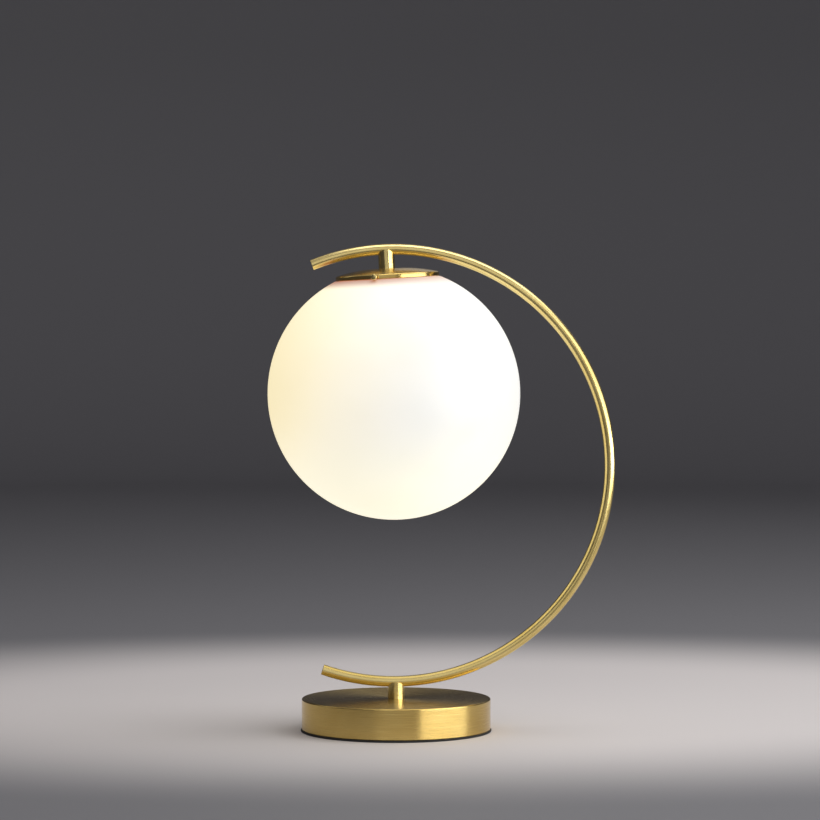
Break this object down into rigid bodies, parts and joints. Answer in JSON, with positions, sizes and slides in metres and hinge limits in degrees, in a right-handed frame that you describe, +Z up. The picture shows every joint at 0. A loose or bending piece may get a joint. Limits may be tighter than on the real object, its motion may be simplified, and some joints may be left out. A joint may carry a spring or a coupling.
{
  "type": "glass globe table lamp",
  "caption": "Table lamp with an opal glass globe hung in a C-shaped brass arc on a round weighted base, with its holder and bulb.",
  "frame": {"origin": "centre of the pad's underside, on the surface the lamp stands on", "axes": "+Z up, +X to the closed side of the arc, -Y to the front"},
  "size_m": [0.2753, 0.2, 0.3865],
  "materials": {
    "brass": "satin, brushed round the axis",
    "pad_foam": "matte closed-cell foam",
    "zinc_steel": "zinc-plated",
    "iron": "rough cast, painted",
    "nylon": "natural nylon",
    "opal_glass": "opal white, satin",
    "holder_black": "moulded",
    "holder_insert": "moulded thermoset",
    "shell_metal": "rolled",
    "dark_glass": "dark moulded glass",
    "bulb_white": "smooth",
    "bulb_opal": "frosted",
    "board": "white-coated",
    "wire_brown": "insulation",
    "wire_blue": "insulation"
  },
  "bodies": {
    "lamp": {"base_shell": "brass", "post": "brass", "arc_tube": "brass", "tube_cap_upper": "brass", "tube_cap_lower": "brass", "stem": "brass", "fitter_cap": "brass", "stud_1": "brass", "stud_2": "brass", "inlet_bushing": "brass", "base_pad": "pad_foam", "base_plate": "zinc_steel", "plate_screws": "zinc_steel", "nipple_washer": "zinc_steel", "nipple_nut": "zinc_steel", "base_nipple": "zinc_steel", "block_screw": "zinc_steel", "cap_washer": "zinc_steel", "cap_nut": "zinc_steel", "top_nipple": "zinc_steel", "centre_contact": "zinc_steel", "base_weight": "iron", "terminal_block": "nylon", "glass_globe": "opal_glass", "holder_cap": "holder_black", "holder_body": "holder_black", "holder_insert": "holder_insert", "threaded_sleeve": "shell_metal", "wire_live": "wire_brown", "wire_neutral": "wire_blue"},
    "tip": {"screw_tip": "nylon"},
    "screw": {"thumb_screw": "brass"},
    "bulb": {"bulb_tip": "zinc_steel", "bulb_insulator": "dark_glass", "bulb_screw_shell": "shell_metal", "bulb_body": "bulb_white", "led_board": "board", "bulb_dome": "bulb_opal"}
  },
  "joints": [
    {"name": "screw_travel", "type": "slide", "parent": "lamp", "child": "tip", "axis": [-0.2246, -0.9744, -0.0126], "range_m": [0, 0.003]},
    {"name": "screw_turn", "type": "hinge", "parent": "tip", "child": "screw", "pos_m": [-0.017, -0.04385, 0.36035], "axis": [-0.2246, -0.9744, -0.0126], "range_deg": [0, 2400]},
    {"name": "bulb_unscrew", "type": "slide", "parent": "lamp", "child": "bulb", "axis": [0.0558, 0, -0.9984], "range_m": [0, 0.024]}
  ],
  "couplings": [
    {"joint": "screw_turn", "follows": "screw_travel", "rad_per_m": 13963}
  ]
}
